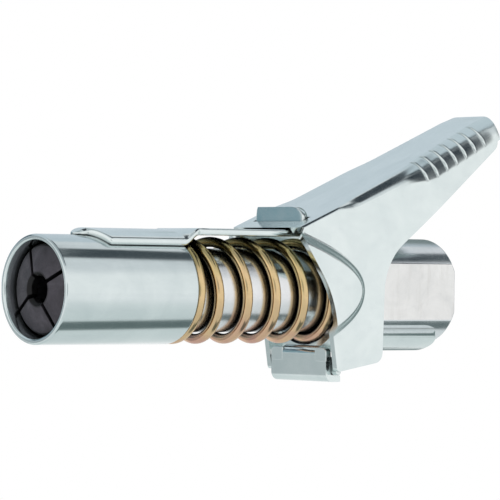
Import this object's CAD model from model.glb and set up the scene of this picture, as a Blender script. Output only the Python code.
"""Grease coupler: visible shapes, materials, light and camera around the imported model."""
import math
from collections import namedtuple

import bmesh
import bpy
from mathutils import Matrix, Vector


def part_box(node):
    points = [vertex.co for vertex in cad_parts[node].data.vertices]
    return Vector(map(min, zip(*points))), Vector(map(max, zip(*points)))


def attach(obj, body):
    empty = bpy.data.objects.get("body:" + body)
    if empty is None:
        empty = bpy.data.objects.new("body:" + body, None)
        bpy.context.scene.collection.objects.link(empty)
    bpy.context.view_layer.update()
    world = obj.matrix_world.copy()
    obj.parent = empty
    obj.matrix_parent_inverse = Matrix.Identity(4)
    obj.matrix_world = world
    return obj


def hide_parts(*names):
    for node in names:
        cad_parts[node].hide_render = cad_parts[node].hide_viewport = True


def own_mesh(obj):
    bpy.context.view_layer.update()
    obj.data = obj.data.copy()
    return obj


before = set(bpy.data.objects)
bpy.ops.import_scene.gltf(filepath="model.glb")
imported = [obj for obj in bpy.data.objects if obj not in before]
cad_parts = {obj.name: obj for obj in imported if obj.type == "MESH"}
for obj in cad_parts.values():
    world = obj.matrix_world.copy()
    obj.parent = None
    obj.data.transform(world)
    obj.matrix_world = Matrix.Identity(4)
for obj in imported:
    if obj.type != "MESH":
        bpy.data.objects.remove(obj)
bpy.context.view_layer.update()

MM = 0.001

# Sizes repeated from the part's source, in millimetres
SLEEVE_R, SLEEVE_BACK, MOUTH_X = 12.0, 78.5, 115.0
GUIDE_R, MOUTH_R, CONE_FRONT_R = 9.45, 10.8, 10.4
CONE_BACK_X, CONE_FRONT_X = 107.8, 113.5
STEM_TAIL_R, RUN_GAP, SEAT_GAP = 8.05, 0.05, 0.02
BODY_R, BODY_LEN, FLAT_Y, BODY_CHAMFER = 12.3, 34.5, 10.4, 1.0
INLET_R, INLET_DEPTH, FEED_R, SEAL_FLOOR_X = 4.75, 11.0, 3.0, 20.06
WIRE_R, SPRING_TURNS, SPRING_END_ANGLE = 1.15, 6.3, 95.0
COIL_WIRE_R, COIL_TURNS = 0.4, 5
STRAP_UNDER_Z, STRAP_TOP_Z, SHEET_T = 12.3, 13.8, 1.5
STRAP_HALF, TONGUE_HALF, HOOK_HEIGHT, HOOK_FLARE = 8.0, 2.2, 5.3, 0.2
HOOK_X, HOOK_Z = 45.5, 16.0
LEVER_T, LEVER_TILT = 1.4, math.radians(22)
FULCRUM_X, FULCRUM_Z, FOOT_W = 36.9, -18.3, 4.2
EAR_OUT, EAR_IN, LEVER_FRONT, TAIL_LEN = 12.1, 10.7, 4.5, 65.0
SLOT_HALF, SLOT_FRONT, SLOT_REAR = 8.5, 0.62, 2.265
BULGE_X, BULGE_Z, BULGE_H = 37.7, 0.2, 1.9
WAIST_ALONG, GROOVE_COUNT, GROOVE_PITCH, GROOVE_DEPTH = 2.0, 7, 3.6, 0.35
PLATE_BACK, PLATE_FRONT, PLATE_HALF, TONGUE_PLATE_HALF = 37.7, 39.2, 9.5, 6.0
SLEEVE_TRAVEL, SEAL_TRAVEL, BALL_TRAVEL = 10.56, 1.5, 1.2

# Points closer than this are merged, in metres: in new meshes and in copies of CAD meshes
WELD, CAD_WELD = 1e-7, 2e-6
COPLANAR = math.radians(0.5)
BEVEL_SEGMENTS = 3


def ease(lo, hi, t):
    """Smooth step from 0 at lo to 1 at hi."""
    c = min(max((t - lo) / (hi - lo), 0.0), 1.0)
    return c * c * (3 - 2 * c)


def span(start, end, count):
    """count + 1 even steps from start to end."""
    return [start + (end - start) * i / count for i in range(count + 1)]


def rounded(corners, steps=6):
    """Closed outline through corners (x, y, radius), each rounded by an arc."""
    out = []
    for i, (x, y, radius) in enumerate(corners):
        q = Vector((x, y))
        if radius <= 0:
            out.append((x, y))
            continue
        u = (Vector(corners[i - 1][:2]) - q).normalized()
        v = (Vector(corners[(i + 1) % len(corners)][:2]) - q).normalized()
        half = math.acos(max(-1.0, min(1.0, u.dot(v)))) / 2
        centre = q + (u + v).normalized() * (radius / math.sin(half))
        a = q + u * (radius / math.tan(half)) - centre
        b = q + v * (radius / math.tan(half)) - centre
        start = math.atan2(a.y, a.x)
        turn = (math.atan2(b.y, b.x) - start + 3 * math.pi) % (2 * math.pi) - math.pi
        for k in range(steps + 1):
            angle = start + turn * k / steps
            out.append((centre.x + radius * math.cos(angle), centre.y + radius * math.sin(angle)))
    return out


def lathe(profile, steps):
    """Surface of a closed profile of (x, r) points turned about the X axis."""
    verts, faces = [], []
    count = len(profile)
    for i in range(steps):
        angle = 2 * math.pi * i / steps
        for x, r in profile:
            verts.append((x, r * math.cos(angle), r * math.sin(angle)))
    for i in range(steps):
        for j in range(count):
            a, b = i * count, ((i + 1) % steps) * count
            faces.append((a + j, a + (j + 1) % count, b + (j + 1) % count, b + j))
    return verts, faces


def skin(rings, closed=False):
    """Faces over rings of equal point count, with end caps unless the rings close on themselves."""
    verts = [p for ring in rings for p in ring]
    n, faces = len(rings[0]), []
    for i in range(len(rings) - (0 if closed else 1)):
        a, b = i * n, ((i + 1) % len(rings)) * n
        for j in range(n):
            faces.append((a + j, a + (j + 1) % n, b + (j + 1) % n, b + j))
    if not closed:
        faces.append(tuple(range(n)))
        faces.append(tuple((len(rings) - 1) * n + j for j in range(n)))
    return verts, faces


def piece(name, shape, material, body, nodes=(), sharp=40, bevel=0.0, bevel_angle=40):
    """New object from millimetre points, riding on a body and standing for CAD nodes."""
    verts, faces = shape
    mesh = bpy.data.meshes.new(name)
    mesh.from_pydata([Vector(v) * MM for v in verts], [], faces)
    bm = bmesh.new()
    bm.from_mesh(mesh)
    bmesh.ops.remove_doubles(bm, verts=bm.verts, dist=WELD)
    bmesh.ops.recalc_face_normals(bm, faces=bm.faces)
    return finish_piece(name, mesh, bm, material, body, nodes, sharp, bevel, bevel_angle)


def refined(node, material, body, bevel):
    """Copy of a CAD node with clean faces and broken edges, which stands for it."""
    name = node + "_dressed"
    bm = bmesh.new()
    bm.from_mesh(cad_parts[node].data)
    bmesh.ops.remove_doubles(bm, verts=bm.verts, dist=CAD_WELD)
    bmesh.ops.dissolve_limit(bm, angle_limit=COPLANAR, verts=bm.verts, edges=bm.edges)
    mesh = bpy.data.meshes.new(name)
    finish_piece(name, mesh, bm, material, body, (node,), sharp=30, bevel=bevel, bevel_angle=25)


def finish_piece(name, mesh, bm, material, body, nodes, sharp, bevel, bevel_angle):
    """Object from an edited mesh, with its material, shading, broken edges and place in the frame.

    Edges over the angle sharp (degrees) are shaded sharp, and those over bevel_angle are broken.
    """
    bm.to_mesh(mesh)
    bm.free()
    mesh.materials.clear()
    mesh.materials.append(material)
    mesh.shade_smooth()
    mesh.set_sharp_from_angle(angle=math.radians(sharp))
    obj = bpy.data.objects.new(name, mesh)
    bpy.context.scene.collection.objects.link(obj)
    if bevel:
        mod = obj.modifiers.new("edge", "BEVEL")
        mod.width = bevel * MM
        mod.segments = BEVEL_SEGMENTS
        mod.limit_method = "ANGLE"
        mod.angle_limit = math.radians(bevel_angle)
        mod.harden_normals = True
    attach(obj, body)
    if nodes:
        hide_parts(*nodes)
    return obj


# Materials


def add_node(tree, kind, inputs=None, **settings):
    """New shader node with its settings and inputs."""
    node = tree.nodes.new("ShaderNode" + kind)
    for name, value in settings.items():
        setattr(node, name, value)
    fill(tree, node, inputs or {})
    return node


def fill(tree, node, inputs):
    """Links from other nodes' outputs, and constants: a tuple is a colour."""
    for key, value in inputs.items():
        if isinstance(value, bpy.types.NodeSocket):
            tree.links.new(value, node.inputs[key])
        else:
            node.inputs[key].default_value = (*value, 1) if isinstance(value, tuple) else value


def empty_material(name):
    material = bpy.data.materials.new(name)
    material.use_nodes = True
    material.node_tree.nodes.clear()
    return material


class Nodes:
    """Short way to build a surface's node tree."""

    def __init__(self, name):
        self.material = empty_material(name)
        self.tree = self.material.node_tree
        self.shader = self.add("BsdfPrincipled")
        self.add("OutputMaterial", {"Surface": self.shader.outputs[0]})
        self.place = self.add("TexCoord").outputs["Object"]

    def add(self, kind, inputs=None, **settings):
        return add_node(self.tree, kind, inputs, **settings)

    def split(self, vector):
        return self.add("SeparateXYZ", {0: vector}).outputs

    def noise(self, scale, detail, rough, stretch=(1, 1, 1), distort=0.0):
        """Noise of so many waves a metre, stretched along an axis by a factor under 1."""
        mapping = self.add("Mapping", {"Vector": self.place, "Scale": [scale * s for s in stretch]})
        return self.add("TexNoise", {
            "Vector": mapping.outputs[0],
            "Scale": 1.0,
            "Detail": detail,
            "Roughness": rough,
            "Distortion": distort,
        }).outputs["Fac"]

    def ramp(self, fac, stops):
        node = self.add("ValToRGB", {"Fac": fac})
        elements = node.color_ramp.elements
        while len(elements) < len(stops):
            elements.new(0.5)
        for element, (position, colour) in zip(elements, stops):
            element.position = position
            element.color = (*colour, 1)
        return node.outputs["Color"]

    def math(self, operation, *values):
        return self.add("Math", dict(enumerate(values)), operation=operation).outputs[0]

    def remap(self, value, to, between=(0.3, 0.7)):
        """Value carried over from one range to another."""
        return self.add("MapRange", {
            "Value": value,
            "From Min": between[0],
            "From Max": between[1],
            "To Min": to[0],
            "To Max": to[1],
        }).outputs[0]

    def mix(self, fac, a, b, blend="MIX"):
        """Mix of two colours, which are inputs 6 and 7 of the node and its output 2."""
        return self.add("Mix", {"Factor": fac, 6: a, 7: b}, data_type="RGBA", blend_type=blend).outputs[2]

    def bump(self, height, strength, distance_mm):
        node = self.add("Bump", {"Strength": strength, "Distance": distance_mm * MM, "Height": height})
        self.set(Normal=node.outputs[0])

    def shaded(self, colour, reach_mm, deepest):
        """Colour that darkens in crevices, where grease and dust collect."""
        node = self.add("AmbientOcclusion", {"Distance": reach_mm * MM})
        share = self.remap(node.outputs["AO"], (deepest, 1.0), between=(0.2, 0.75))
        return self.mix(1.0, colour, share, "MULTIPLY")

    def set(self, **values):
        fill(self.tree, self.shader, {name.replace("_", " "): value for name, value in values.items()})


def zinc_material(name, stretch, dark, light, rough):
    """Bright zinc plating: cloudy tone, fine forming lines and a little unevenness."""
    n = Nodes(name)
    clouds = n.noise(90, detail=4, rough=0.6, distort=0.6)
    lines = n.noise(420, detail=3, rough=0.6, stretch=stretch)
    specks = n.noise(2600, detail=2, rough=0.5)
    middle = tuple((a + b) / 2 for a, b in zip(dark, light))
    tone = n.ramp(clouds, ((0.30, dark), (0.52, middle), (0.72, light)))
    streak, streak_share = (0.50, 0.55, 0.60), n.remap(lines, (0.0, 0.10), between=(0.45, 0.75))
    n.set(
        Base_Color=n.shaded(n.mix(streak_share, tone, streak), reach_mm=3.5, deepest=0.12),
        Metallic=1.0,
        Roughness=n.remap(lines, rough),
    )
    n.bump(n.math("ADD", n.math("MULTIPLY", specks, 0.5), lines), strength=0.18, distance_mm=0.012)
    return n.material


def milled_material():
    """Zinc over milled steel: cutter marks across the flats, turned lines elsewhere."""
    flat_from, flat_extra_rough = 0.985, 0.20
    n = Nodes("milled_zinc")
    clouds = n.noise(110, detail=4, rough=0.65, distort=0.8)
    marks = n.noise(650, detail=3, rough=0.7, stretch=(1.0, 1.0, 0.16))
    turned = n.noise(700, detail=2, rough=0.5, stretch=(1.0, 0.12, 0.12))
    sideways = n.split(n.add("NewGeometry").outputs["Normal"])["Y"]
    flat = n.math("GREATER_THAN", n.math("ABSOLUTE", sideways), flat_from)
    tone = n.ramp(clouds, (
        (0.30, (0.74, 0.745, 0.74)),
        (0.50, (0.83, 0.83, 0.82)),
        (0.70, (0.90, 0.90, 0.89)),
    ))
    mark_share = n.remap(marks, (0.0, 0.35), between=(0.52, 0.80))
    turned_share = n.remap(turned, (0.0, 0.12), between=(0.45, 0.75))
    flat_tone = n.mix(mark_share, tone, (0.58, 0.57, 0.54))
    round_tone = n.mix(turned_share, (0.78, 0.81, 0.83), (0.52, 0.56, 0.60))
    n.set(
        Base_Color=n.mix(flat, round_tone, flat_tone),
        Metallic=1.0,
        Roughness=n.math("ADD", n.math("MULTIPLY", flat, flat_extra_rough), n.remap(clouds, (0.12, 0.20))),
    )
    height = n.math("ADD", n.math("MULTIPLY", marks, flat), n.math("MULTIPLY", turned, 0.25))
    n.bump(height, strength=0.5, distance_mm=0.02)
    return n.material


def chromate_material():
    """Yellow chromate on spring wire: gold that drifts to pink low down and to green high up."""
    per_metre, drift_share = 26.0, 0.9
    n = Nodes("yellow_chromate")
    drift = n.noise(70, detail=3, rough=0.6, distort=1.2)
    fine = n.noise(900, detail=3, rough=0.6)
    height = n.math("MULTIPLY", n.split(n.place)["Z"], per_metre)
    tone = n.ramp(n.math("ADD", height, n.math("MULTIPLY", drift, drift_share)), (
        (0.02, (0.62, 0.36, 0.28)),
        (0.26, (0.74, 0.52, 0.31)),
        (0.50, (0.72, 0.54, 0.29)),
        (0.72, (0.58, 0.47, 0.22)),
        (0.95, (0.44, 0.38, 0.20)),
    ))
    stain, stain_share = (0.55, 0.36, 0.20), n.remap(fine, (0.0, 0.25), between=(0.50, 0.85))
    n.set(
        Base_Color=n.shaded(n.mix(stain_share, tone, stain), reach_mm=4.0, deepest=0.06),
        Metallic=1.0,
        Roughness=n.remap(fine, (0.13, 0.24)),
    )
    n.bump(fine, strength=0.15, distance_mm=0.01)
    return n.material


def blacked_material():
    """Black oxide on the jaws: grainy, faintly violet, rubbed lighter in patches, greasy in the bore."""
    bore_r_mm, bore_shade = (3.6, 4.1), 0.06
    n = Nodes("black_oxide")
    patches = n.noise(260, detail=4, rough=0.6, distort=0.5)
    grain = n.noise(3200, detail=3, rough=0.6)
    tone = n.ramp(patches, (
        (0.30, (0.030, 0.027, 0.033)),
        (0.55, (0.050, 0.045, 0.055)),
        (0.78, (0.085, 0.078, 0.092)),
    ))
    place = n.split(n.place)
    squares = [n.math("MULTIPLY", place[axis], place[axis]) for axis in "YZ"]
    radius = n.math("SQRT", n.math("ADD", *squares))
    share = n.remap(radius, (bore_shade, 1.0), between=[r * MM for r in bore_r_mm])
    n.set(
        Base_Color=n.shaded(n.mix(1.0, tone, share, "MULTIPLY"), reach_mm=6.0, deepest=0.05),
        Metallic=0.35,
        Roughness=n.remap(grain, (0.42, 0.60)),
    )
    n.bump(n.math("ADD", grain, n.math("MULTIPLY", patches, 0.8)), strength=0.25, distance_mm=0.02)
    return n.material


def rubber_material():
    """Nitrile rubber: near black, with a faint bloom and a fine grain."""
    n = Nodes("nitrile_rubber")
    bloom = n.noise(300, detail=4, rough=0.6)
    grain = n.noise(2400, detail=2, rough=0.5)
    n.set(
        Base_Color=n.ramp(bloom, ((0.3, (0.012, 0.012, 0.013)), (0.7, (0.035, 0.034, 0.034)))),
        Roughness=n.remap(grain, (0.45, 0.62)),
    )
    n.bump(grain, strength=0.2, distance_mm=0.01)
    return n.material


def turned_metal(name, dark, light, rough):
    """Turned brass or polished steel with fine rings about the axis."""
    n = Nodes(name)
    rings = n.noise(1500, detail=2, rough=0.5, stretch=(1.0, 0.05, 0.05))
    clouds = n.noise(200, detail=3, rough=0.6)
    n.set(
        Base_Color=n.ramp(clouds, ((0.3, dark), (0.7, light))),
        Metallic=1.0,
        Roughness=n.remap(rings, rough),
    )
    n.bump(rings, strength=0.15, distance_mm=0.01)
    return n.material


ZINC_TUBE = zinc_material("zinc_tube", stretch=(0.10, 1, 1), rough=(0.10, 0.18),
                          dark=(0.62, 0.695, 0.70), light=(0.73, 0.80, 0.80))
ZINC_SHEET = zinc_material("zinc_sheet", stretch=(0.35, 1, 0.5), rough=(0.13, 0.22),
                           dark=(0.70, 0.775, 0.775), light=(0.79, 0.855, 0.85))
ZINC_STEM = zinc_material("zinc_stem", stretch=(1, 0.1, 0.1), rough=(0.14, 0.24),
                          dark=(0.72, 0.74, 0.75), light=(0.84, 0.85, 0.86))
MILLED = milled_material()
CHROMATE = chromate_material()
BLACKED = blacked_material()
RUBBER = rubber_material()
BRASS = turned_metal("turned_brass", rough=(0.22, 0.34),
                     dark=(0.70, 0.52, 0.22), light=(0.82, 0.65, 0.32))
BRIGHT = turned_metal("polished_steel", rough=(0.10, 0.18),
                      dark=(0.62, 0.63, 0.65), light=(0.78, 0.79, 0.81))


# Sleeve and inlet body

INLET_BEVEL_DEPTH, INLET_BEVEL_WIDTH = 0.9, 0.7


def make_sleeve():
    lip_round = 0.59
    outline = rounded([
        (SLEEVE_BACK, GUIDE_R, 0.3),
        (SLEEVE_BACK, SLEEVE_R, 0.5),
        (MOUTH_X, SLEEVE_R, lip_round),
        (MOUTH_X, MOUTH_R, lip_round),
        (CONE_FRONT_X, CONE_FRONT_R, 0.4),
        (CONE_BACK_X, GUIDE_R, 1.5),
    ], steps=8)
    shape = lathe(outline, steps=192)
    piece("sleeve_shell", shape, ZINC_TUBE, "sleeve", ("outer_sleeve",), sharp=50)


def flatted_ring(x, r, flat_steps=12, arc_steps=36):
    """Ring of the inlet body at x: two arcs of radius r and two wrench flats."""
    limit = math.acos(min(FLAT_Y / r, 1.0))
    z_end = r * math.sin(limit)
    ring = []
    for turn in (0.0, math.pi):
        for i in range(flat_steps):
            z = -z_end + 2 * z_end * i / flat_steps
            ring.append((x, FLAT_Y * math.cos(turn), z * math.cos(turn)))
        for i in range(arc_steps):
            angle = turn + limit + (math.pi - 2 * limit) * i / arc_steps
            ring.append((x, r * math.cos(angle), r * math.sin(angle)))
    return ring


def round_ring(x, r, like):
    """Ring of radius r with its points at the angles of another ring."""
    ring = []
    for _, y, z in like:
        k = r / math.hypot(y, z)
        ring.append((x, y * k, z * k))
    return ring


def make_inlet_body():
    rear = flatted_ring(0.0, BODY_R - BODY_CHAMFER)
    front = flatted_ring(BODY_LEN, BODY_R)
    spigot_r = STEM_TAIL_R + RUN_GAP
    rings = [rear]
    rings += [flatted_ring(x, BODY_R) for x in span(BODY_CHAMFER, BODY_LEN, 12)]
    rings += [
        round_ring(BODY_LEN, spigot_r, front),
        round_ring(SEAL_FLOOR_X, spigot_r, front),
        round_ring(SEAL_FLOOR_X, FEED_R, front),
        round_ring(INLET_DEPTH + INLET_R - FEED_R, FEED_R, front),
        round_ring(INLET_DEPTH, INLET_R, front),
        round_ring(INLET_BEVEL_DEPTH, INLET_R, front),
        round_ring(0.0, INLET_R + INLET_BEVEL_WIDTH, rear),
    ]
    piece("inlet_body_dressed", skin(rings, closed=True), MILLED, "body", ("inlet_body",),
          sharp=30, bevel=0.22, bevel_angle=24)


def make_inlet_thread():
    """Pipe thread in the inlet: a triangular ridge wound along the bore, which fades in and out."""
    pitch, depth, free_end, steps = 0.94, 0.42, 2.4, 48
    fade_turns, faded, sunk = 0.6, 0.02, 0.02
    root_half, crest_half = 0.42, 0.06
    turns = (INLET_DEPTH - free_end) / pitch
    rings = []
    for i in range(int(turns * steps) + 1):
        turn = i / steps
        x, angle = INLET_BEVEL_DEPTH + turn * pitch, 2 * math.pi * turn
        fade = min(1.0, turn / fade_turns, (turns - turn) / fade_turns + faded)
        root, crest = INLET_R + sunk, INLET_R - depth * max(fade, faded)
        profile = ((-root_half, root), (-crest_half, crest), (crest_half, crest), (root_half, root))
        rings.append([(x + dx, r * math.cos(angle), r * math.sin(angle)) for dx, r in profile])
    piece("inlet_thread", skin(rings), MILLED, "body", sharp=30)


# Springs


def coil_advance(turn, turns, flat=0.25, ramp=0.75):
    """Advance of a coil after some turns, in pitches: flat at each end, then a ramp to the full pitch."""
    def rise(t):
        if t < flat:
            return 0.0
        if t < flat + ramp:
            return (t - flat) ** 2 / (2 * ramp)
        return t - flat - ramp / 2

    return rise(turn) if turn < turns / 2 else rise(turns / 2) * 2 - rise(turns - turn)


def make_coil(name, node, material, ends, radius, wire_r, turns, last_angle, steps, sides,
              part=(0, 1)):
    """Coil of round wire with closed ends, or the part of it between two shares of its turns."""
    end_shrink = 0.82
    total = coil_advance(turns, turns)
    count = int(turns * steps * (part[1] - part[0]))
    centre = []
    for i in range(count + 1):
        turn = turns * (part[0] + (part[1] - part[0]) * i / count)
        angle = math.radians(last_angle) - 2 * math.pi * (turns - turn)
        x = ends[0] + (ends[1] - ends[0]) * coil_advance(turn, turns) / total
        centre.append((Vector((x, radius * math.cos(angle), radius * math.sin(angle))), angle))
    rings = []
    for i, (p, angle) in enumerate(centre):
        along = (centre[min(i + 1, count)][0] - centre[max(i - 1, 0)][0]).normalized()
        side = along.cross(Vector((0, math.cos(angle), math.sin(angle)))).normalized()
        out = side.cross(along)
        at_end = (i == 0 and part[0] == 0) or (i == count and part[1] == 1)
        r = wire_r * (end_shrink if at_end else 1.0)
        around = [2 * math.pi * j / sides for j in range(sides)]
        rings.append([p + (out * math.cos(a) + side * math.sin(a)) * r for a in around])
    return piece(name, skin(rings), material, "body", (node,), sharp=50)


def make_return_coil():
    coil = make_coil(
        "return_coil", "return_spring", CHROMATE,
        ends=(BODY_LEN + WIRE_R + SEAT_GAP, SLEEVE_BACK - WIRE_R - SEAT_GAP), radius=SLEEVE_R - WIRE_R,
        wire_r=WIRE_R, turns=SPRING_TURNS, last_angle=SPRING_END_ANGLE, steps=80, sides=24,
    )
    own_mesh(coil)


def make_piston_coil():
    """Piston spring in two halves, so that each end follows the piece that it presses on."""
    low, high = (Vector(corner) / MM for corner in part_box("piston_spring"))
    halves = (
        ("rear", (0, 0.5), "ball_lift", BALL_TRAVEL),
        ("front", (0.5, 1), "seal_slide", SEAL_TRAVEL),
    )
    for name, part, joint, travel in halves:
        coil = make_coil(
            "piston_coil_" + name, "piston_spring", BRIGHT,
            ends=(low.x + COIL_WIRE_R, high.x - COIL_WIRE_R), radius=high.y - COIL_WIRE_R,
            wire_r=COIL_WIRE_R, turns=COIL_TURNS, last_angle=0.0, steps=48, sides=16, part=part,
        )
        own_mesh(coil)


# Pull strap

# Cross-section of the strap: place and lean of its underside, half width, curvature across, thickness,
# shift sideways and radius of its upper edges
StrapSection = namedtuple("StrapSection", "x z lean half curve thick shift edge")


def make_strap():
    tip_x, tip_taper, tip_thin, tip_half = MOUTH_X - 10.3, 2.8, 0.25, 0.04
    flare_x, full_x = MOUTH_X - 12.6, MOUTH_X - 15.8
    curve_end, flat_x = SLEEVE_BACK + 0.6, SLEEVE_BACK - 3.6
    rear_x, wrap_r, bend_r = HOOK_X - SHEET_T, SLEEVE_R + 0.04, SHEET_T + 1.3
    hook_half, hook_top = STRAP_HALF + HOOK_FLARE, STRAP_TOP_Z + HOOK_HEIGHT
    corner_h, near_corner, far_corner = 2.6, 3.8, 0.6
    sleeve_edge, flat_edge, hook_edge, lower_edge = 1.15, 0.6, 0.25, 0.15
    edge_of_half, edge_of_thick = 0.9, 0.8
    stop_gap, straight = 0.1, 1e-4
    quarter = span(0, math.pi / 2, 12)

    def flatness(x):
        return ease(-curve_end, -flat_x, -x)

    def half_width(x):
        tongue = TONGUE_HALF
        if x > tip_x - TONGUE_HALF:
            tongue = math.sqrt(max(TONGUE_HALF ** 2 - (x - tip_x + TONGUE_HALF) ** 2, tip_half ** 2))
        return tongue + (STRAP_HALF - TONGUE_HALF) * ease(-flare_x, -full_x, -x)

    def thickness(x):
        taper = math.sin(math.pi / 2 * min((tip_x - x) / tip_taper, 1))
        return SHEET_T * (tip_thin + (1 - tip_thin) * taper)

    stops = [tip_x - tip_taper * (1 - math.cos(a)) for a in quarter]
    stops = [x for x in stops if x > flare_x + stop_gap]
    stops += span(flare_x, full_x, 28) + span(full_x - 3, curve_end + 1, 6)
    stops += span(curve_end, flat_x, 20) + span(flat_x - 3, rear_x + bend_r + 1, 8)
    sections = []
    for x in stops:
        flat = flatness(x)
        sections.append(StrapSection(
            x, wrap_r + (STRAP_UNDER_Z - wrap_r) * flat, 0.0, half_width(x), (1 - flat) / wrap_r,
            thickness(x), 0.0, sleeve_edge + (flat_edge - sleeve_edge) * flat,
        ))
    for a in quarter:
        sections.append(StrapSection(
            rear_x + bend_r * (1 - math.sin(a)), STRAP_UNDER_Z + bend_r * (1 - math.cos(a)), a,
            hook_half, 0.0, SHEET_T, 0.0, flat_edge + (hook_edge - flat_edge) * math.sin(a),
        ))
    for a in quarter[1:]:
        cut = 1 - math.cos(a)
        sections.append(StrapSection(
            rear_x, hook_top - corner_h * (1 - math.sin(a)), math.pi / 2,
            hook_half - (near_corner + far_corner) / 2 * cut, 0.0, SHEET_T,
            (far_corner - near_corner) / 2 * cut, hook_edge,
        ))

    def place(s, along, height):
        if s.curve < straight:
            side, rise = along, height
        else:
            turn = along * s.curve * wrap_r / (wrap_r + SHEET_T / 2)
            side = (1 / s.curve + height) * math.sin(turn)
            rise = (1 / s.curve + height) * math.cos(turn) - 1 / s.curve
        return (s.x + rise * math.sin(s.lean), side + s.shift, s.z + rise * math.cos(s.lean))

    def profile(half, thick, edge, steps=8):
        """Cross-section from the near side to the far one, with rounded edges, and back underneath."""
        r = min(edge, half * edge_of_half, thick * edge_of_thick)
        small = min(lower_edge, r / 2)
        arc = span(math.pi / 2, 0, 6)
        near = [(half - small, 0.0), (half, small)]
        near += [(half - r + r * math.sin(a), thick - r + r * math.cos(a)) for a in arc]
        middle = [((half - r) * (1 - i / steps), thick) for i in range(1, 2 * steps)]
        under = [(-(half - small) * (1 - i / steps), 0.0) for i in range(1, 2 * steps)]
        return near + middle + [(-y, h) for y, h in reversed(near)] + under

    rings = [[place(s, y, h) for y, h in profile(s.half, s.thick, s.edge)] for s in sections]
    piece("strap_dressed", skin(rings), ZINC_SHEET, "sleeve", ("pull_strap",), sharp=60)


# Thumb lever: places are (along, y, above), from the strap's hook along the tilted lever

# Half width and top height of the pressing at places along it
LEVER_STATIONS = ((-68.0, 9.46, 1.927), (-34.5, EAR_OUT, 0.504), (-10.5, EAR_OUT, 0.0), (7.5, EAR_OUT, 0.0))
# The shoulder's run across the top and its drop down the side
SHOULDERS = (
    (-68.0, 5.0, 5.4),
    (-38.0, 5.0, 5.6),
    (-31.0, 3.8, 3.4),
    (-13.5, 3.4, 2.6),
    (-8.0, 0.8, 0.8),
    (7.5, 0.9, 0.9),
)
STATION_BLEND, SHOULDER_BLEND = 6, 1.4
# Grooves: place of the first one from the tail, half width, and shares of the shoulder where they fade
FIRST_GROOVE, GROOVE_HALF_W, GROOVE_IN, GROOVE_OUT = 7.2, 0.22, (0.05, 0.25), (0.80, 0.98)
GROOVES = [-TAIL_LEN + FIRST_GROOVE + GROOVE_PITCH * i for i in range(GROOVE_COUNT)]
GROOVE_ROWS = (-1.4, -0.9, -0.55, -0.4, -0.3, -0.2, -0.1, 0.0, 0.1, 0.2, 0.3, 0.4, 0.55, 0.9, 1.4)
# The bulge's reach behind its middle, the width of its ramp and how fast it opens above and below
BULGE_REACH, BULGE_RAMP, BULGE_ARMS = 6.3, 2.7, (7.4, 9.6)
# Shift of the bulge's ramp outwards on the outer skin, and inwards on the inner one
BULGE_OUTER_SHIFT, BULGE_INNER_SHIFT = 0.3, -0.35
# The tail's end: its length, the pull of its corners, its droop, its half width and the corners' power
TIP_LEN, TIP_PULL, TIP_DROOP, TIP_HALF, TIP_POWER = 6, 1.3, 0.25, 9.7, 4
# The front corners' relief: its length and depth, its share on the side, the heights from the shoulder's
# foot over which it grows there, and the start and length of the half wave that it follows on the shoulder
RELIEF_LEN, RELIEF_DEPTH, RELIEF_SIDE = 2.6, 1.1, 0.5
RELIEF_RISE, RELIEF_WAVE = (-1.2, 0.2), (0.2, 0.75)
# Where the rows begin to slant, and the least shoulder and side
SLANT_START, SHOULDER_LEAST, SIDE_LEAST = -12, 0.4, 0.05
# The rows over the slot stay within this share of the flat top
SLOT_SHARE = 0.9
# Steps of an edge shorter than this have no slope
TINY = 1e-9
# Rows of points down each side, over each shoulder, from the shoulder to the slot and over the slot
SIDE_ROWS, ARC_ROWS, FLANK_ROWS, TOP_ROWS = 96, 18, 3, 8


def from_lever(along, y, above):
    c, s = math.cos(LEVER_TILT), math.sin(LEVER_TILT)
    return (HOOK_X + along * c + above * s, y, HOOK_Z - along * s + above * c)


def to_lever(x, z):
    c, s = math.cos(LEVER_TILT), math.sin(LEVER_TILT)
    return (x - HOOK_X) * c - (z - HOOK_Z) * s, (x - HOOK_X) * s + (z - HOOK_Z) * c


def along_table(table, along):
    """Straight interpolation in rows of (place, values...)."""
    for low, high in zip(table, table[1:]):
        if along <= high[0] or high is table[-1]:
            t = (along - low[0]) / (high[0] - low[0])
            return [a + (b - a) * t for a, b in zip(low[1:], high[1:])]


def smoothed(table, along, reach):
    """Interpolated values, averaged over the changes of slope."""
    near = [along_table(table, along + reach * d) for d in (-1, -0.67, -0.33, 0, 0.33, 0.67, 1)]
    return [sum(v) / len(near) for v in zip(*near)]


def lever_section(along):
    """Half width, top height, and the shoulder's run and drop."""
    return smoothed(LEVER_STATIONS, along, STATION_BLEND) + smoothed(SHOULDERS, along, SHOULDER_BLEND)


def lever_edges():
    """Lower edge of the pressing from its tail to its toe, and front edge from the toe up."""
    toe, waist = to_lever(FULCRUM_X, FULCRUM_Z), to_lever(BULGE_X, BULGE_Z)
    steps, square_corners, lower_arcs = 16, 2, 3
    outline = rounded([
        (LEVER_FRONT, 12, 0),
        (-TAIL_LEN - 0.6, 12, 0),
        (-TAIL_LEN + 0.6, -4.6, 5),
        (-17, -16.6, 14),
        (toe[0] - 12.6, toe[1] - 2.6, 2.5),
        (toe[0] + 1, toe[1] + 0.4, 0.8),
        (WAIST_ALONG, waist[1], 25),
        (LEVER_FRONT + 0.7, -4.2, 2.5),
    ], steps)
    toe_start = square_corners + lower_arcs * (steps + 1)
    return outline[square_corners:toe_start + steps + 1], outline[toe_start:] + outline[:1]


LOWER_EDGE, FRONT_EDGE = lever_edges()


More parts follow.
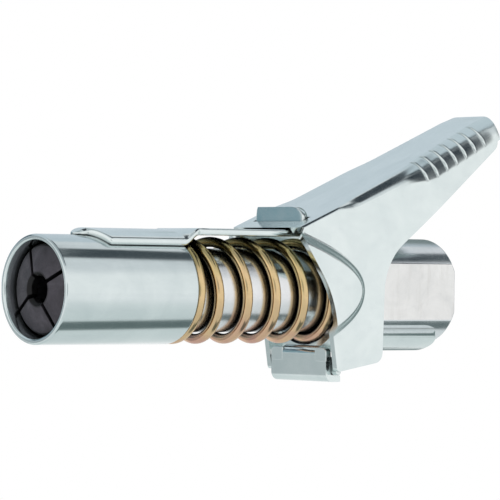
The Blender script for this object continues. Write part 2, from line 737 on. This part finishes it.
def lower_edge_at(along):
    """Lowest height of the lower edge at a place along it."""
    best = None
    for (a0, h0), (a1, h1) in zip(LOWER_EDGE, LOWER_EDGE[1:]):
        if min(a0, a1) <= along <= max(a0, a1) and abs(a1 - a0) > TINY:
            here = h0 + (h1 - h0) * (along - a0) / (a1 - a0)
            best = here if best is None else min(best, here)
    if best is None:
        best = LOWER_EDGE[0][1] if along < LOWER_EDGE[0][0] else LOWER_EDGE[-1][1]
    return best


def front_edge_at(above):
    """Place of the front edge at a height."""
    for (a0, h0), (a1, h1) in zip(FRONT_EDGE, FRONT_EDGE[1:]):
        if h0 <= above <= h1 and h1 - h0 > TINY:
            return a0 + (a1 - a0) * (above - h0) / (h1 - h0)
    return FRONT_EDGE[0][0] if above < FRONT_EDGE[0][1] else LEVER_FRONT


def slant(along, above):
    """Shift along the lever that brings the last row of points onto the ear's front edge."""
    return (front_edge_at(above) - LEVER_FRONT) * ease(SLANT_START, LEVER_FRONT, along)


def bulge(x, z, inner):
    """Height of the bulge for the spring: a swelling with a parabola for its outline, open forwards."""
    dx, dz = x - BULGE_X, z - BULGE_Z
    arm = BULGE_ARMS[0] if dz > 0 else BULGE_ARMS[1]
    far = (dz * dz - arm * (dx + BULGE_REACH)) / math.hypot(2 * dz, arm)
    shift = BULGE_INNER_SHIFT if inner else BULGE_OUTER_SHIFT
    return BULGE_H * (1 - ease(shift - BULGE_RAMP / 2, shift + BULGE_RAMP / 2, far))


def groove_depth(along):
    return GROOVE_DEPTH * sum(math.exp(-(((along - p) / GROOVE_HALF_W) ** 2)) for p in GROOVES)


def lever_row(along, inset):
    """Points across the lever at one place along it, from the near lower edge to the far one."""
    half, top, run, drop = lever_section(along)
    groove = groove_depth(along) if inset == 0 else 0.0
    half, top = half - inset, top - inset
    run, drop = max(run - inset, SHOULDER_LEAST), max(drop - inset, SHOULDER_LEAST)
    foot = top - drop
    low = lower_edge_at(along)
    for _ in range(6):  # settles on the lower edge where the row slants
        low = lower_edge_at(along + slant(along, low))
    low = min(low, foot - SIDE_LEAST)
    relief = RELIEF_DEPTH * ease(LEVER_FRONT - RELIEF_LEN, LEVER_FRONT, along)
    near = []
    for i in range(SIDE_ROWS):
        above = low + (foot - low) * i / SIDE_ROWS
        here = along + slant(along, above)
        x, _, z = from_lever(here, 0, above)
        notch = relief * ease(foot + RELIEF_RISE[0], foot + RELIEF_RISE[1], above) * RELIEF_SIDE
        near.append((here - notch, half + bulge(x, z, inset > 0), above))
    for i in range(ARC_ROWS):
        share = i / ARC_ROWS
        angle = math.pi / 2 * share
        y = half - run + run * math.cos(angle)
        h = foot + drop * math.sin(angle)
        pressed = groove * ease(*GROOVE_IN, share) * (1 - ease(*GROOVE_OUT, share))
        notch = relief * max(math.sin(math.pi * (share * RELIEF_WAVE[1] + RELIEF_WAVE[0])), 0)
        near.append((along - notch, y - pressed * math.cos(angle), h - pressed * math.sin(angle)))
    flat = half - run
    inner = min(SLOT_HALF, flat * SLOT_SHARE)
    marks = [flat + (inner - flat) * i / FLANK_ROWS for i in range(FLANK_ROWS)]
    marks += [inner * (1 - i / TOP_ROWS) for i in range(TOP_ROWS)]
    near += [(along, y, top) for y in marks]
    row = near + [(along, 0.0, top)] + [(a, -y, h) for a, y, h in reversed(near)]
    tip = ease(-TAIL_LEN + TIP_LEN, -TAIL_LEN, along)
    pull, droop = TIP_PULL * tip * tip, TIP_DROOP * tip * tip
    return [from_lever(a + pull * (abs(y) / TIP_HALF) ** TIP_POWER, y, h - droop) for a, y, h in row]


def make_lever():
    # Rows along the lever: tail end, grooves, the narrowing shoulder, the fold, the slot and the front edge
    stops = span(-TAIL_LEN + 0.05, -TAIL_LEN + 5.6, 26)
    stops += [p + d for p in GROOVES for d in GROOVE_ROWS]
    stops += span(-34.4, -19, 26)
    stops += span(-18.4, -SLOT_REAR - 0.4, 48)
    stops += span(-SLOT_REAR, SLOT_FRONT, 8)
    stops += span(SLOT_FRONT + 0.35, LEVER_FRONT, 11)
    outer = [lever_row(a, 0.0) for a in stops]
    inner = [lever_row(a, LEVER_T) for a in stops]
    width, count = len(outer[0]), len(stops)

    # The underside in front of the slot rests flat on the strap
    seat, seat_reach, seat_half = STRAP_TOP_Z + 0.12, 4, STRAP_HALF + 1
    for row in inner:
        for k, (x, y, z) in enumerate(row):
            if x > HOOK_X and abs(y) < seat_half and seat - seat_reach < z < seat:
                row[k] = (x, y, seat)

    mid = SIDE_ROWS + ARC_ROWS + FLANK_ROWS
    slot_cells = set()
    for i in range(count - 1):
        if -SLOT_REAR < (stops[i] + stops[i + 1]) / 2 < SLOT_FRONT:
            slot_cells |= {(i, j) for j in range(mid, width - 1 - mid)}
    verts = [p for row in outer + inner for p in row]
    offset, faces, edges = width * count, [], {}
    for i in range(count - 1):
        for j in range(width - 1):
            if (i, j) in slot_cells:
                continue
            a, b = i * width + j, (i + 1) * width + j
            c, d = b + 1, a + 1
            faces.append((a, b, c, d))
            faces.append((offset + d, offset + c, offset + b, offset + a))
            for e in ((a, b), (b, c), (c, d), (d, a)):
                edges[e] = True
    for a, b in edges:  # an edge that only one cell has is on the rim
        if (b, a) not in edges:
            faces.append((b, a, offset + a, offset + b))
    piece("lever_pressing", (verts, faces), ZINC_SHEET, "lever", ("thumb_lever",),
          sharp=48, bevel=0.22, bevel_angle=58)


def make_lever_feet():
    """Feet turned in from the ears, with a round edge in the bracket's hook."""
    r, top_z, bend, lap = LEVER_T / 2, FULCRUM_Z + 3.4, 2, 0.6
    outline = [(FULCRUM_X - r, top_z)]
    for a in span(0, math.pi, 14):
        outline.append((FULCRUM_X - r * math.cos(a), FULCRUM_Z - r * math.sin(a)))
    outline += [(FULCRUM_X + r, top_z)]
    for side, name in ((1, "near"), (-1, "far")):
        stops = (EAR_IN - FOOT_W, EAR_IN - bend, EAR_IN + lap)
        rings = [[(x, side * y, z) for x, z in outline] for y in stops]
        piece("lever_foot_" + name, skin(rings), ZINC_SHEET, "lever",
              bevel=0.15, bevel_angle=50)


def make_bracket_wings():
    """Upper corners of the bracket's J plate, beside the tongue that joins it to the saddle."""
    low_z, top_z, corner_r, lap, tongue_lap = -16.0, -12.8, 1.2, 0.03, 0.4
    inner_y, outer_y = TONGUE_PLATE_HALF - tongue_lap, PLATE_HALF + lap
    outline = rounded([
        (inner_y, low_z, 0),
        (outer_y, low_z, 0),
        (outer_y, top_z, corner_r),
        (inner_y, top_z, 0),
    ])
    for side, name in ((1, "near"), (-1, "far")):
        rings = [[(x, side * y, z) for y, z in outline] for x in (PLATE_BACK - lap, PLATE_FRONT + lap)]
        piece("bracket_wing_" + name, skin(rings), ZINC_SHEET, "body", bevel=0.18)


make_sleeve()
make_inlet_body()
make_inlet_thread()
make_return_coil()
make_piston_coil()
make_strap()
make_lever()
make_lever_feet()
refined("fulcrum_bracket", ZINC_SHEET, "body", bevel=0.18)
make_bracket_wings()
for jaw in ("jaw_1", "jaw_2", "jaw_3", "jaw_4"):
    refined(jaw, BLACKED, jaw, bevel=0.4)

# CAD nodes that stay as they are, with their materials
CARRIED = {
    "stem_tube": ZINC_STEM,
    "stem_seal": RUBBER,
    "jaw_band": RUBBER,
    "nozzle_seal": RUBBER,
    "piston_ring": RUBBER,
    "seal_piston": BRASS,
    "check_seat": BRASS,
    "check_ball": BRIGHT,
}
for name, material in CARRIED.items():
    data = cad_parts[name].data
    data.materials.clear()
    data.materials.append(material)


# Stage, in metres: floor, white surround, and dark and grey cards that only reflections see

WHITE, FLOOR_PAINT, SKY = (1, 1, 1), (0.92, 0.93, 0.94), (0.95, 0.97, 1.0)
FLOOR_Z, FLOOR_HALF, FLOOR_WHITE = -0.25, 1.9, 0.9
SKY_STRENGTH = 0.75
# Heights of the level cards: over the part, close over the thumb pad, under the part and over all
CARD_Z, PAD_CARD_Z, PALE_CARD_Z = 0.6, 0.08, 0.078
UNDER_CARD_Z, BELOW_CARD_Z, ABOVE_CARD_Z = -0.2, -0.24, 1.3
DARK, SHADE = (0.02, 0.03, 0.04), (0.14, 0.18, 0.18)


def stage_plane(name, corners, material, camera=True):
    """Plane of the stage, or a card without shadow that neither camera nor diffuse rays see."""
    mesh = bpy.data.meshes.new(name)
    mesh.from_pydata(corners, [], [(0, 1, 2, 3)])
    layer = mesh.uv_layers.new(name="UVMap")
    for loop, uv in zip(layer.data, ((0, 0), (1, 0), (1, 1), (0, 1))):
        loop.uv = uv
    mesh.materials.append(material)
    obj = bpy.data.objects.new(name, mesh)
    bpy.context.scene.collection.objects.link(obj)
    if not camera:
        obj.visible_camera = False
        obj.visible_diffuse = False
        obj.visible_shadow = False


def level(x, y, z):
    """Corners of a level plane."""
    return [(x[0], y[0], z), (x[1], y[0], z), (x[1], y[1], z), (x[0], y[1], z)]


def upright(start, end, z):
    """Corners of a standing plane between two places on the floor plan."""
    return [(*start, z[0]), (*end, z[0]), (*end, z[1]), (*start, z[1])]


def seen_directly(tree):
    """1 for camera, glossy and transmission rays."""
    path = add_node(tree, "LightPath").outputs
    total = path["Is Camera Ray"]
    for output in ("Is Glossy Ray", "Is Transmission Ray"):
        total = add_node(tree, "Math", {0: total, 1: path[output]}, operation="MAXIMUM").outputs[0]
    return total


def floor_material():
    """Paint that takes shadows, mostly hidden by plain white where it is seen or reflected."""
    material = empty_material("pale_floor")
    tree = material.node_tree
    paint = add_node(tree, "BsdfDiffuse", {"Color": FLOOR_PAINT})
    white = add_node(tree, "Emission", {"Color": WHITE})
    share = add_node(tree, "Math", {0: seen_directly(tree), 1: FLOOR_WHITE}, operation="MULTIPLY")
    mix = add_node(tree, "MixShader", {0: share.outputs[0], 1: paint.outputs[0], 2: white.outputs[0]})
    add_node(tree, "OutputMaterial", {"Surface": mix.outputs[0]})
    return material


def card_material(name, colour, soft):
    """Even tone that fades out towards the card's edges, as an out-of-focus card does."""
    material = empty_material(name)
    tree = material.node_tree
    glow = add_node(tree, "Emission", {"Color": colour})
    clear = add_node(tree, "BsdfTransparent")
    split = add_node(tree, "SeparateXYZ", {0: add_node(tree, "UVMap").outputs[0]})
    fades = []
    for axis, width in zip("XY", soft):
        centred = add_node(tree, "Math", {0: split.outputs[axis], 1: 0.5}, operation="SUBTRACT")
        size = add_node(tree, "Math", {0: centred.outputs[0]}, operation="ABSOLUTE")
        fades.append(add_node(tree, "MapRange", {
            "Value": size.outputs[0],
            "From Min": 0.5 - width,
            "From Max": 0.5,
            "To Min": 1.0,
            "To Max": 0.0,
        }, interpolation_type="SMOOTHSTEP").outputs[0])
    both = add_node(tree, "Math", dict(enumerate(fades)), operation="MULTIPLY")
    mix = add_node(tree, "MixShader", {0: both.outputs[0], 1: clear.outputs[0], 2: glow.outputs[0]})
    add_node(tree, "OutputMaterial", {"Surface": mix.outputs[0]})
    return material


floor_span = (-FLOOR_HALF, FLOOR_HALF)
stage_plane("floor", level(floor_span, floor_span, FLOOR_Z), floor_material())

# Each card's name, corners, colour, and the share of its two directions over which it fades
BEHIND_HOOK, BEHIND_MOUTH = ((0.09, -0.115), (0.18, -0.115)), ((0.18, -0.115), (0.28, -0.115))
PAD_CARD = ((-0.016, 0.007), (0.011, 0.039), (-0.224, 0.265), (-0.262, 0.222))
FAR_CARD = [(-2.2, -1.1, 0.05), (1.2, -1.1, 0.05), (1.2, -0.45, 1.75), (-2.2, -0.45, 1.75)]
CARDS = (
    ("card_tube", level((-0.85, -0.25), (-0.045, 0.262), CARD_Z), (0.06, 0.075, 0.085), (0.03, 0.12)),
    ("card_fold", level((-0.27, 0.10), (-0.24, 0.62), CARD_Z), DARK, (0.10, 0.08)),
    ("card_pad", [(*corner, PAD_CARD_Z) for corner in PAD_CARD], DARK, (0.30, 0.10)),
    ("card_pale", level((-0.055, -0.003), (-0.035, 0.026), PALE_CARD_Z), (0.58, 0.65, 0.70), (0.15, 0.15)),
    ("card_nose", level((0.13, 0.85), (-0.35, 0.55), CARD_Z), (0.42, 0.47, 0.49), (0.10, 0.12)),
    ("card_under", level((-0.30, 0.15), (-0.004, 0.098), UNDER_CARD_Z), SHADE, (0.1, 0.18)),
    ("card_below", level((-0.9, 0.9), (-0.9, 0.9), BELOW_CARD_Z), (0.72, 0.77, 0.77), (0.45, 0.45)),
    ("card_above", level((-2.4, 2.4), (-2.4, 2.4), ABOVE_CARD_Z), (0.78, 0.80, 0.82), (0.25, 0.25)),
    ("card_far", FAR_CARD, (0.61, 0.68, 0.735), (0.08, 0.06)),
    ("card_hook", upright(*BEHIND_HOOK, (0.0, 0.04)), (0.22, 0.33, 0.38), (0.12, 0.1)),
    ("card_line", upright(*BEHIND_HOOK, (0.035, 0.085)), (0.04, 0.08, 0.11), (0.12, 0.15)),
    ("card_foot", upright(*BEHIND_HOOK, (-0.08, 0.0)), (0.48, 0.52, 0.53), (0.12, 0.1)),
    ("card_mouth", upright(*BEHIND_MOUTH, (-0.07, 0.07)), (0.40, 0.44, 0.46), (0.12, 0.15)),
    ("card_rear", upright((-0.45, -0.58), (-0.45, 0.26), (-0.48, 0.48)), (0.20, 0.25, 0.25), (0.15, 0.15)),
    ("card_lens", upright((0.55, 1.15), (1.15, 0.55), (-0.25, 0.25)), (0.50, 0.54, 0.55), (0.2, 0.2)),
)
for name, corners, colour, soft in CARDS:
    stage_plane(name, corners, card_material(name, colour, soft), camera=False)

world = bpy.data.worlds.new("studio")
bpy.context.scene.world = world
world.use_nodes = True
sky = world.node_tree
sky.nodes.clear()
soft_light = add_node(sky, "Background", {"Color": SKY, "Strength": SKY_STRENGTH})
surround = add_node(sky, "Background", {"Color": WHITE, "Strength": 1.0})
seen = seen_directly(sky)
blend = add_node(sky, "MixShader", {0: seen, 1: soft_light.outputs[0], 2: surround.outputs[0]})
add_node(sky, "OutputWorld", {"Surface": blend.outputs[0]})


def lamp(name, place, target, size, watts):
    """Area lamp that no reflection shows."""
    data = bpy.data.lights.new(name, "AREA")
    data.shape = "RECTANGLE"
    data.size, data.size_y = size
    data.energy = watts
    obj = bpy.data.objects.new(name, data)
    bpy.context.scene.collection.objects.link(obj)
    obj.location = place
    obj.rotation_mode = "QUATERNION"
    obj.rotation_quaternion = (Vector(target) - Vector(place)).to_track_quat("-Z", "Y")
    obj.visible_glossy = False


AIM = (0.055, 0.0, 0.01)
lamp("key", (0.35, 0.9, 0.75), AIM, size=(0.7, 0.5), watts=4.0)
lamp("fill", (0.9, -0.1, 0.35), AIM, size=(0.5, 0.5), watts=1.5)

# Camera at the photograph's viewing angle
CAMERA_AT = Vector((0.56919, 0.60887, 0.00575))
LOOK_AT = Vector((0.05409, 0.0, 0.00917))
ROLL = math.radians(0.674)
SENSOR_MM, LENS_MM, CLIP = 36.0, 253.85, (0.05, 50)
camera_data = bpy.data.cameras.new("camera")
camera_data.sensor_width = SENSOR_MM
camera_data.lens = LENS_MM
camera_data.clip_start, camera_data.clip_end = CLIP
camera = bpy.data.objects.new("camera", camera_data)
bpy.context.scene.collection.objects.link(camera)
aimed = (LOOK_AT - CAMERA_AT).to_track_quat("-Z", "Y").to_matrix() @ Matrix.Rotation(ROLL, 3, "Z")
camera.location = CAMERA_AT
camera.rotation_mode = "QUATERNION"
camera.rotation_quaternion = aimed.to_quaternion()
bpy.context.scene.camera = camera
bpy.context.scene.view_settings.view_transform = "Standard"
